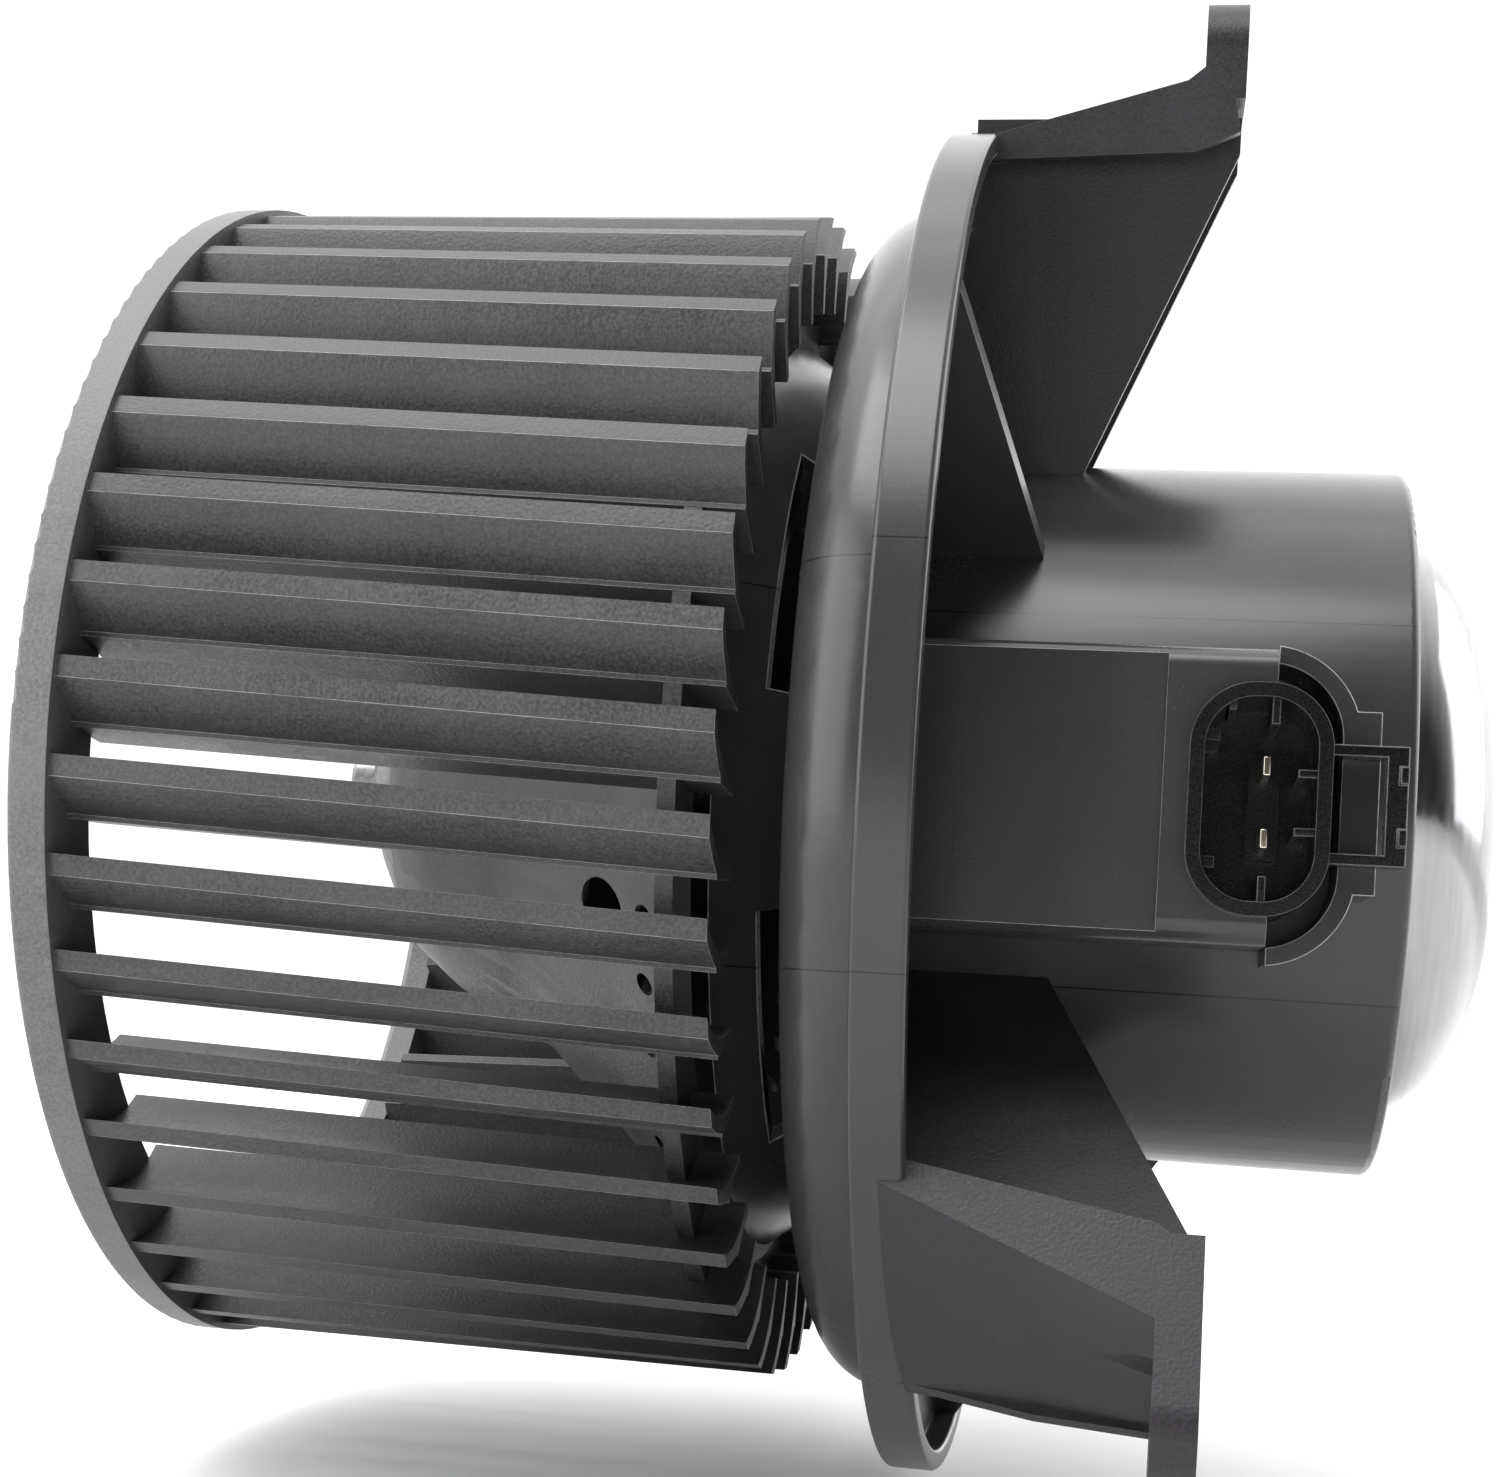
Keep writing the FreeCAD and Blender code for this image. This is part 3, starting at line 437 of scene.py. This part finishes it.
metals = {
    "groundSteel": {
        "dark": (0.12, 0.12, 0.125), "light": (0.28, 0.28, 0.285), "roughness": (0.24, 0.42),
    },
    "drawnSteel": {
        "dark": (0.30, 0.30, 0.31), "light": (0.40, 0.40, 0.41), "roughness": (0.10, 0.18),
    },
    "coreSteel": {
        "dark": (0.12, 0.12, 0.13), "light": (0.28, 0.28, 0.29), "roughness": (0.35, 0.6),
    },
    "copperWire": {
        "dark": (0.42, 0.17, 0.09), "light": (0.80, 0.42, 0.26), "roughness": (0.2, 0.4),
    },
    "sinteredBronze": {
        "dark": (0.36, 0.26, 0.14), "light": (0.62, 0.48, 0.28), "roughness": (0.4, 0.65),
    },
    "stampedBrass": {
        "dark": (0.62, 0.52, 0.34), "light": (0.92, 0.86, 0.70), "roughness": (0.12, 0.3),
    },
}

allMetals = {
    "grainScale": 900.0, "cloudScale": 40.0, "ringShare": 0.5, "cloudShare": 0.5,
    "wornAndHighlit": (0.85, 0.85, 0.86), "wearAndHighlightShare": 0.5, "bump": 0.06,
    "bumpDepth": 0.00002,                # metres
}


def metalMaterial(name):
    recipe = metals[name]
    material, tree, shader = startMaterial(name)
    rings = useGroup(tree, "rings").outputs["Line"]
    grain = useGrain(tree, allMetals["grainScale"], allMetals["cloudScale"])
    tone = plus(tree, times(tree, rings, allMetals["ringShare"]),
                times(tree, grain.outputs["Cloud"], allMetals["cloudShare"]))
    colour = blendColour(tree, tone, recipe["dark"], recipe["light"])
    colour = wornAndHighlitColour(tree, colour, allMetals["wornAndHighlit"], allMetals["wearAndHighlightShare"])
    tree.links.new(colour, shader.inputs["Base Color"])
    tree.links.new(roughByTone(tree, tone, recipe["roughness"]), shader.inputs["Roughness"])
    shader.inputs["Metallic"].default_value = 1.0
    height = plus(tree, rings, grain.outputs["Speckle"])
    bump(tree, shader, height, allMetals["bump"], allMetals["bumpDepth"])
    return material


mattes = {
    "blackRubber": {
        "dark": (0.012, 0.012, 0.012), "light": (0.035, 0.034, 0.033), "roughness": (0.6, 0.85),
    },
    "magnetFerrite": {
        "dark": (0.035, 0.035, 0.038), "light": (0.09, 0.09, 0.095), "roughness": (0.5, 0.75),
    },
    "brushCarbon": {
        "dark": (0.015, 0.015, 0.016), "light": (0.05, 0.05, 0.052), "roughness": (0.35, 0.6),
    },
}

allMattes = {
    "grainScale": 1100.0, "cloudScale": 70.0, "toneShare": 0.5,
    "wornAndHighlit": (0.16, 0.16, 0.16), "wearAndHighlightShare": 0.3, "bump": 0.4,
    "bumpDepth": 0.00008,                # metres
}


def matteMaterial(name):
    recipe = mattes[name]
    material, tree, shader = startMaterial(name)
    grain = useGrain(tree, allMattes["grainScale"], allMattes["cloudScale"])
    tone = times(tree, plus(tree, grain.outputs["Speckle"], grain.outputs["Cloud"]),
                 allMattes["toneShare"])
    colour = blendColour(tree, tone, recipe["dark"], recipe["light"])
    colour = wornAndHighlitColour(tree, colour, allMattes["wornAndHighlit"], allMattes["wearAndHighlightShare"])
    tree.links.new(colour, shader.inputs["Base Color"])
    tree.links.new(roughByTone(tree, tone, recipe["roughness"]), shader.inputs["Roughness"])
    bump(tree, shader, grain.outputs["Height"], allMattes["bump"], allMattes["bumpDepth"])
    return material


finishOf = {
    "wheel_plastic": plasticMaterial("wheelPlastic"),
    "housing_plastic": plasticMaterial("housingPlastic"),
    "arm_plastic": plasticMaterial("armPlastic"),
    "connector_plastic": plasticMaterial("connectorPlastic"),
    "steel": metalMaterial("groundSteel"),
    "can_steel": metalMaterial("drawnSteel"),
    "core_steel": metalMaterial("coreSteel"),
    "copper": metalMaterial("copperWire"),
    "bronze": metalMaterial("sinteredBronze"),
    "brass": metalMaterial("stampedBrass"),
    "ferrite": matteMaterial("magnetFerrite"),
    "carbon": matteMaterial("brushCarbon"),
    "rubber": matteMaterial("blackRubber"),
}

for nodeName, thing in nodes.items():
    thing.data.materials.clear()
    thing.data.materials.append(finishOf[slotOf[nodeName]])
print("materials made")


# moulded pieces, with their edges softened

softEdges = {        # node: edge radius in metres, and its steps
    "inlet_ring": (0.00045, 2), "fan_blades": (0.00014, 1), "wheel_hub": (0.0003, 2),
    "flange_dish": (0.0004, 2), "motor_cup": (0.0005, 2), "front_collar": (0.0003, 2),
    "arm_top": (0.0004, 2), "arm_lower": (0.0004, 2), "arm_rear": (0.0004, 2),
    "stiffening_gussets": (0.0004, 2), "cooling_duct": (0.0003, 2),
    "connector_shell": (0.0003, 2), "connector_skirt": (0.0003, 2),
    "latch_frame": (0.00018, 2), "terminal_pins": (0.00015, 2),
}

edgeWork = {
    "mergeGap": 0.000004,       # metres, under which loose corners become one
    "flatAngle": 0.6,           # degrees, under which neighbouring faces become one
    "bevelAngle": 28.0,         # degrees, over which an edge is rounded
    "smoothAngle": 34.0,        # degrees, over which the shading keeps an edge
}


def roundEdges(piece, radius, steps, slot):
    # the bevel puts its new narrow faces in a second slot, which marks them for the edge wear and
    # painted edge highlight
    mesh = piece.data
    mesh.materials.clear()
    mesh.materials.append(finishOf[slot])
    mesh.materials.append(finishOf[slot])
    pick(piece)
    edge = piece.modifiers.new("edge", "BEVEL")
    edge.width = radius
    edge.segments = steps
    edge.limit_method = "ANGLE"
    edge.angle_limit = math.radians(edgeWork["bevelAngle"])
    edge.material = 1
    bpy.ops.object.modifier_apply(modifier="edge")
    marks = mesh.attributes.new("rimFace", "FLOAT", "FACE")
    marks.data.foreach_set("value", [float(face.material_index) for face in mesh.polygons])
    mesh.polygons.foreach_set("material_index", [0] * len(mesh.polygons))
    mesh.materials.pop(index=1)
    bpy.ops.object.shade_smooth_by_angle(angle=math.radians(edgeWork["smoothAngle"]))
    even = piece.modifiers.new("even", "WEIGHTED_NORMAL")
    even.keep_sharp = True
    bpy.ops.object.modifier_apply(modifier="even")


def softened(nodeName, radius, steps):
    piece = nodes[nodeName].copy()
    piece.data = nodes[nodeName].data.copy()
    piece.name = nodeName + "_soft"
    piece.parent = None
    piece.matrix_world.identity()
    bpy.context.collection.objects.link(piece)
    pick(piece)
    bpy.ops.object.mode_set(mode="EDIT")
    bpy.ops.mesh.select_all(action="SELECT")
    bpy.ops.mesh.remove_doubles(threshold=edgeWork["mergeGap"])
    bpy.ops.mesh.dissolve_limited(angle_limit=math.radians(edgeWork["flatAngle"]))
    bpy.ops.object.mode_set(mode="OBJECT")
    roundEdges(piece, radius, steps, slotOf[nodeName])
    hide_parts(nodeName)
    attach(piece, bodyOf[nodeName])
    return piece


for nodeName, (radius, steps) in softEdges.items():
    piece = softened(nodeName, radius, steps)
    print("softened", nodeName, len(piece.data.polygons))


# brush springs, which in the real motor shorten as the brushes are pushed in; here they only get
# softened edges and meshes of their own

springEdge = (0.0001, 1)        # edge radius in metres, and its steps

springs = {        # node: joint, the end that stays in metres, share of the length left at the end
    "brush_spring_upper": ("upper_brush_slide", (-0.0274, 0.0, 0.0306), 0.62),
    "brush_spring_lower": ("lower_brush_slide", (-0.0274, 0.0, -0.0306), 0.62),
}

for nodeName, (joint, stayingEnd, share) in springs.items():
    spring = softened(nodeName, *springEdge)
    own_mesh(spring)


# ribs in the connector's socket

socketRibs = {        # low corner and high corner in metres
    "ribTopRight": ((0.0095, -0.0628, 0.0048), (0.0104, -0.0510, 0.0078)),
    "ribTopLeft": ((0.0052, -0.0622, 0.0062), (0.0060, -0.0510, 0.0078)),
    "ribRightHigh": ((0.0124, -0.0628, -0.0006), (0.0146, -0.0510, 0.0003)),
    "ribRightLow": ((0.0122, -0.0628, -0.0066), (0.0146, -0.0510, -0.0057)),
    "ribBottomRight": ((0.0088, -0.0628, -0.0138), (0.0097, -0.0510, -0.0108)),
    "ribBottomLeft": ((0.0042, -0.0622, -0.0138), (0.0050, -0.0510, -0.0122)),
}

ribEdge = (0.00015, 2)        # edge radius in metres, and its steps


def socketRib(name, low, high):
    deselectAll()
    middle = [(a + b) / 2 for a, b in zip(low, high)]
    bpy.ops.mesh.primitive_cube_add(size=1.0, location=middle)
    rib = bpy.context.object
    rib.name = name
    rib.dimensions = [b - a for a, b in zip(low, high)]
    bpy.ops.object.transform_apply(location=True, rotation=True, scale=True)
    roundEdges(rib, *ribEdge, "connector_plastic")
    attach(rib, "housing")


for name, (low, high) in socketRibs.items():
    socketRib(name, low, high)
print("socket ribs added")


# floor, lamps and the air around

studio = {
    "floorDrop": 0.004,                   # below the lowest point of the object
    "floorSize": 30.0,
    "floorBounce": (0.72, 0.72, 0.72),    # the floor throws less light up than it shows
    "paper": ((0.89, 0.89, 0.89), (0.92, 0.92, 0.92)),
    "paperNoise": (40.0, 4.0, 0.6),       # scale, detail and roughness
    "paperRoughness": 0.9,
    "before": 0.06, "behind": 2.0,        # light from in front of the object and from behind it
    "turn": (-0.30, 1.0, 0.45),           # the way from dark to light
    "turnRamp": (-0.6, 0.9),
    "backdrop": 1.2,
}

lights = {        # where, size, power, what it points at
    "keyLight": ((-0.35, -0.50, 1.05), (1.0, 0.6), 11.0, (-0.03, 0.0, 0.0)),
    "leftLight": ((-0.90, -0.70, 0.20), (1.0, 1.2), 12.0, (-0.03, 0.0, 0.0)),
    "rightLight": ((0.9, 0.35, 0.45), (0.8, 0.9), 5.5, (0.0, 0.0, 0.0)),
}

skyLight = {"from": (-0.30, -0.10, 1.0), "strength": 0.8, "spread": 60.0}      # spread in degrees


def addFloor():
    lowest = cadBox[0][2] - studio["floorDrop"]
    bpy.ops.mesh.primitive_plane_add(size=studio["floorSize"], location=(0, 0, lowest))
    floor = bpy.context.object
    floor.name = "paleFloor"
    material, tree, shader = startMaterial("floorPaper")
    fibre = noiseNode(tree, objectPlace(tree), *studio["paperNoise"])
    pale = blendColour(tree, fibre, *studio["paper"])
    seen = tree.nodes.new("ShaderNodeLightPath").outputs["Is Camera Ray"]
    colour = blendColour(tree, seen, studio["floorBounce"], pale)
    tree.links.new(colour, shader.inputs["Base Color"])
    shader.inputs["Roughness"].default_value = studio["paperRoughness"]
    floor.data.materials.append(material)


def hangLamp(data, place, turn):
    lamp = bpy.data.objects.new(data.name, data)
    lamp.location = place
    lamp.rotation_euler = turn.to_euler()
    bpy.context.collection.objects.link(lamp)


def addLights():
    for name, (place, size, power, target) in lights.items():
        data = bpy.data.lights.new(name, "AREA")
        data.shape = "RECTANGLE"
        data.size, data.size_y = size
        data.energy = power
        hangLamp(data, place, (Vector(target) - Vector(place)).to_track_quat("-Z", "Y"))


def addSky():
    data = bpy.data.lights.new("skyLight", "SUN")
    data.energy = skyLight["strength"]
    data.angle = math.radians(skyLight["spread"])
    hangLamp(data, (0, 0, 0), Vector(skyLight["from"]).to_track_quat("Z", "Y"))


def addWorld():
    # white behind the object, and a studio that is darker on the camera's side than behind
    world = bpy.data.worlds.new("studioAir")
    world.use_nodes = True
    tree = world.node_tree
    air = [node for node in tree.nodes if node.type == "BACKGROUND"][0]
    leave = [node for node in tree.nodes if node.type == "OUTPUT_WORLD"][0]
    along = tree.nodes.new("ShaderNodeVectorMath")
    along.operation = "DOT_PRODUCT"
    along.inputs[1].default_value = Vector(studio["turn"]).normalized()
    tree.links.new(tree.nodes.new("ShaderNodeTexCoord").outputs["Generated"], along.inputs[0])
    light = rampNode(tree, along.outputs["Value"], *studio["turnRamp"],
                     studio["before"], studio["behind"])
    tree.links.new(light, air.inputs["Strength"])
    backdrop = tree.nodes.new("ShaderNodeBackground")
    backdrop.inputs["Strength"].default_value = studio["backdrop"]
    for source in (air, backdrop):
        source.inputs["Color"].default_value = (1.0, 1.0, 1.0, 1.0)
    seen = tree.nodes.new("ShaderNodeLightPath").outputs["Is Camera Ray"]
    mix = tree.nodes.new("ShaderNodeMixShader")
    for place, source in enumerate((seen, air.outputs[0], backdrop.outputs[0])):
        tree.links.new(source, mix.inputs[place])
    tree.links.new(mix.outputs[0], leave.inputs["Surface"])
    bpy.context.scene.world = world


addFloor()
addLights()
addSky()
addWorld()
bpy.context.scene.view_settings.view_transform = "Standard"
print("studio set")

deselectAll()
